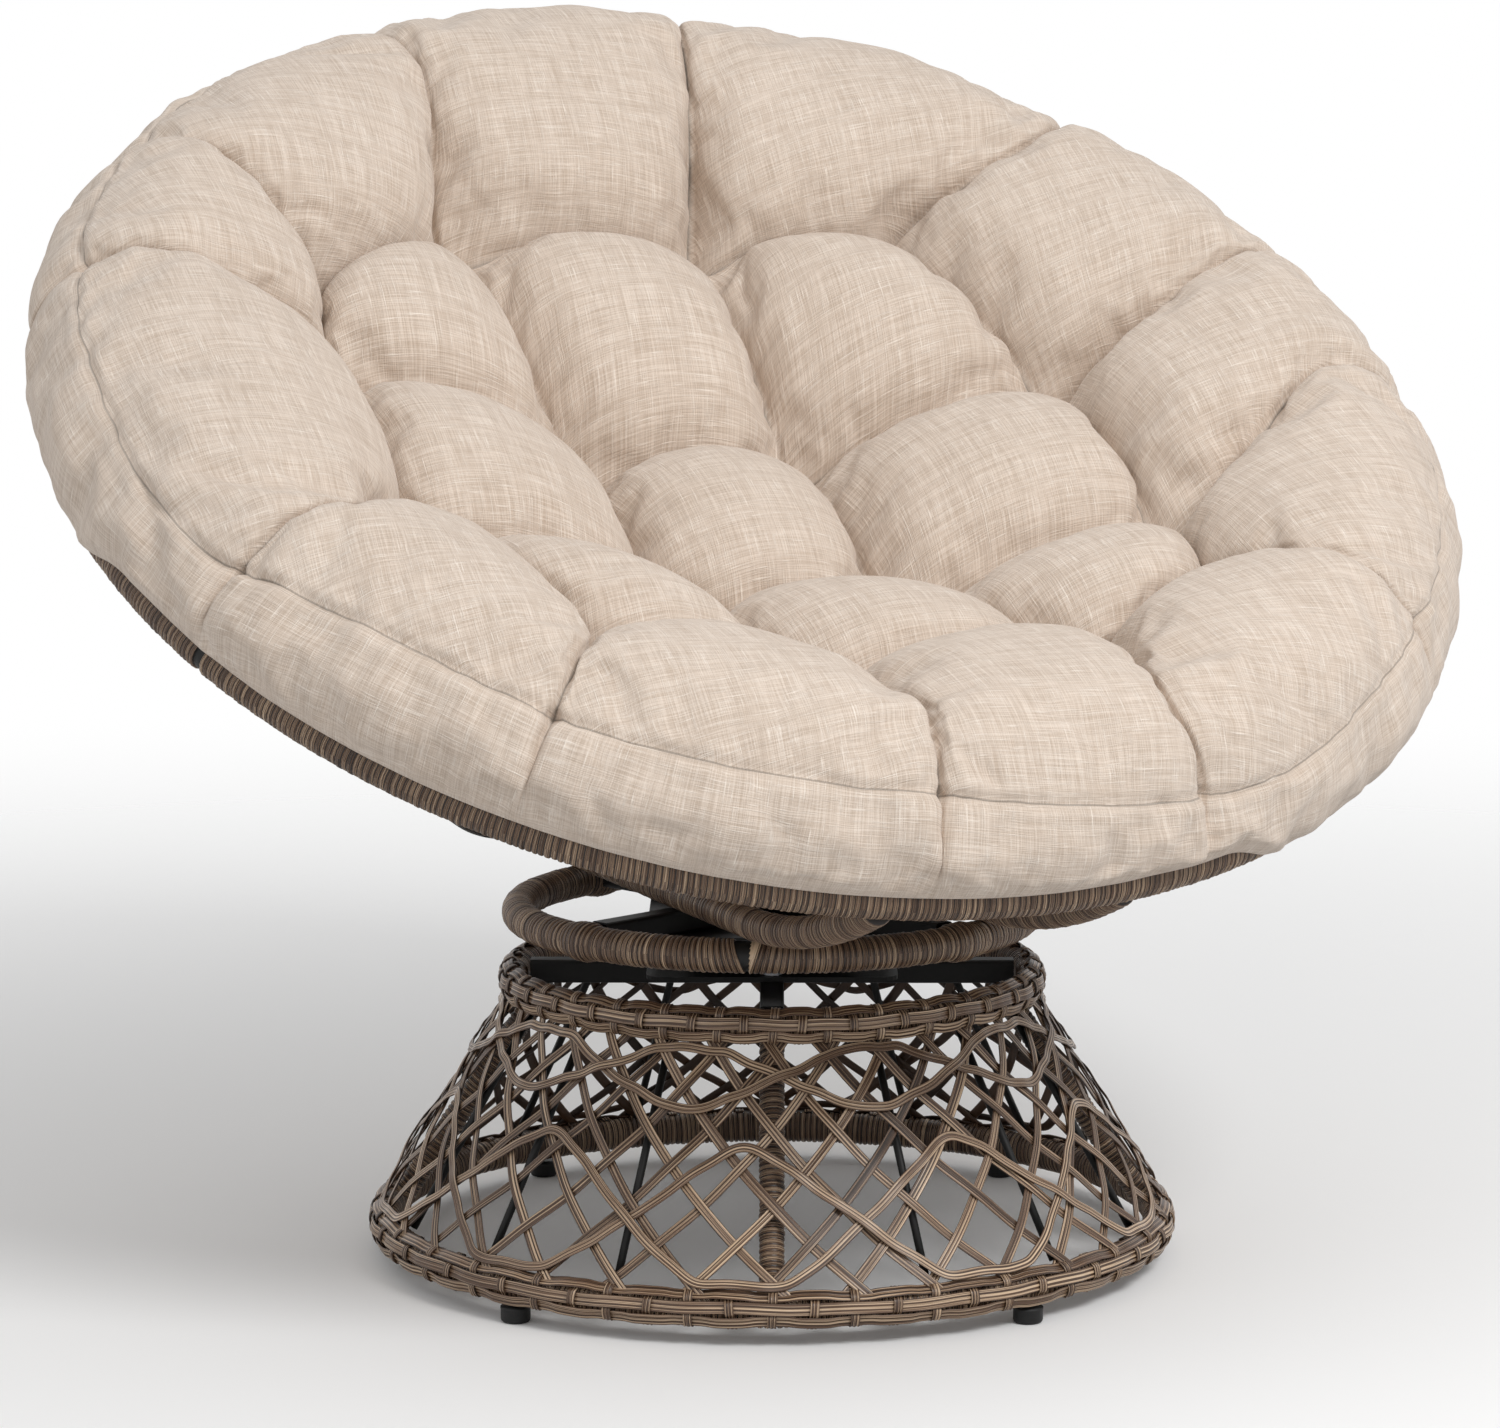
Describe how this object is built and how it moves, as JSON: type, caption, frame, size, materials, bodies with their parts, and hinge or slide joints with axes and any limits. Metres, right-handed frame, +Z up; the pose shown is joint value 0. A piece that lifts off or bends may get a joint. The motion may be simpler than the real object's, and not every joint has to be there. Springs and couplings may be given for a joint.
{
  "type": "papasan chair",
  "caption": "Round tufted cushion in a tilted wicker-wrapped bowl that swivels on an open woven drum base.",
  "frame": {"origin": "middle of the whole chair's bounding box at floor level, with the seat facing -Y", "axes": "+X to the chair's width, -Y the way the seat faces at rest, +Z up; the swivel axis is vertical, 36.8 mm in front of the origin"},
  "size_m": [1.096, 0.9739, 0.9458],
  "materials": {
    "wicker": "resin wicker strands with fine ribs, satin",
    "black_steel": "black powder coat",
    "zinc_steel": "zinc plated",
    "black_plastic": "moulded black plastic",
    "linen": "slubbed linen-look weave"
  },
  "bodies": {
    "base": {"base_bottom_ring": "wicker", "base_top_ring": "wicker", "base_leg_1": "wicker", "base_leg_2": "wicker", "base_leg_3": "wicker", "base_leg_4": "wicker", "base_rod_01": "black_steel", "base_rod_02": "black_steel", "base_rod_03": "black_steel", "base_rod_04": "black_steel", "base_rod_05": "black_steel", "base_rod_06": "black_steel", "base_rod_07": "black_steel", "base_rod_08": "black_steel", "base_rod_09": "black_steel", "base_rod_10": "black_steel", "base_rod_11": "black_steel", "base_rod_12": "black_steel", "base_foot_1": "black_plastic", "base_foot_2": "black_plastic", "base_foot_3": "black_plastic", "base_foot_4": "black_plastic", "base_lattice": "wicker", "base_lower_wave_strand": "wicker", "base_upper_wave_strand": "wicker", "base_cross_bar": "black_steel", "base_front_bar": "black_steel", "base_rear_bar": "black_steel", "swivel_lower_plate": "black_steel", "swivel_lower_cup": "black_steel", "swivel_ball_ring": "zinc_steel", "swivel_lower_bolt_1": "zinc_steel", "swivel_lower_bolt_2": "zinc_steel", "swivel_lower_bolt_3": "zinc_steel", "swivel_lower_bolt_4": "zinc_steel"},
    "seat": {"swivel_upper_plate": "black_steel", "swivel_upper_cup": "black_steel", "swivel_upper_bolt_1": "zinc_steel", "swivel_upper_bolt_2": "zinc_steel", "swivel_upper_bolt_3": "zinc_steel", "swivel_upper_bolt_4": "zinc_steel", "seat_ring": "wicker", "seat_ring_long_arm": "black_steel", "seat_ring_left_arm": "black_steel", "seat_ring_right_arm": "black_steel", "bowl_rim": "wicker", "bowl_hoop": "black_steel", "bowl_spoke_1": "black_steel", "bowl_spoke_2": "black_steel", "bowl_spoke_3": "black_steel", "bowl_spoke_4": "black_steel", "bowl_spoke_5": "black_steel", "bowl_spoke_6": "black_steel", "bowl_spoke_7": "black_steel", "bowl_spoke_8": "black_steel", "bowl_left_runner": "wicker", "bowl_right_runner": "wicker", "cushion": "linen"}
  },
  "joints": [
    {"name": "seat_swivel", "type": "hinge", "parent": "base", "child": "seat", "pos_m": [0, -0.03683, 0.245], "axis": [0, 0, 1], "continuous": true}
  ]
}
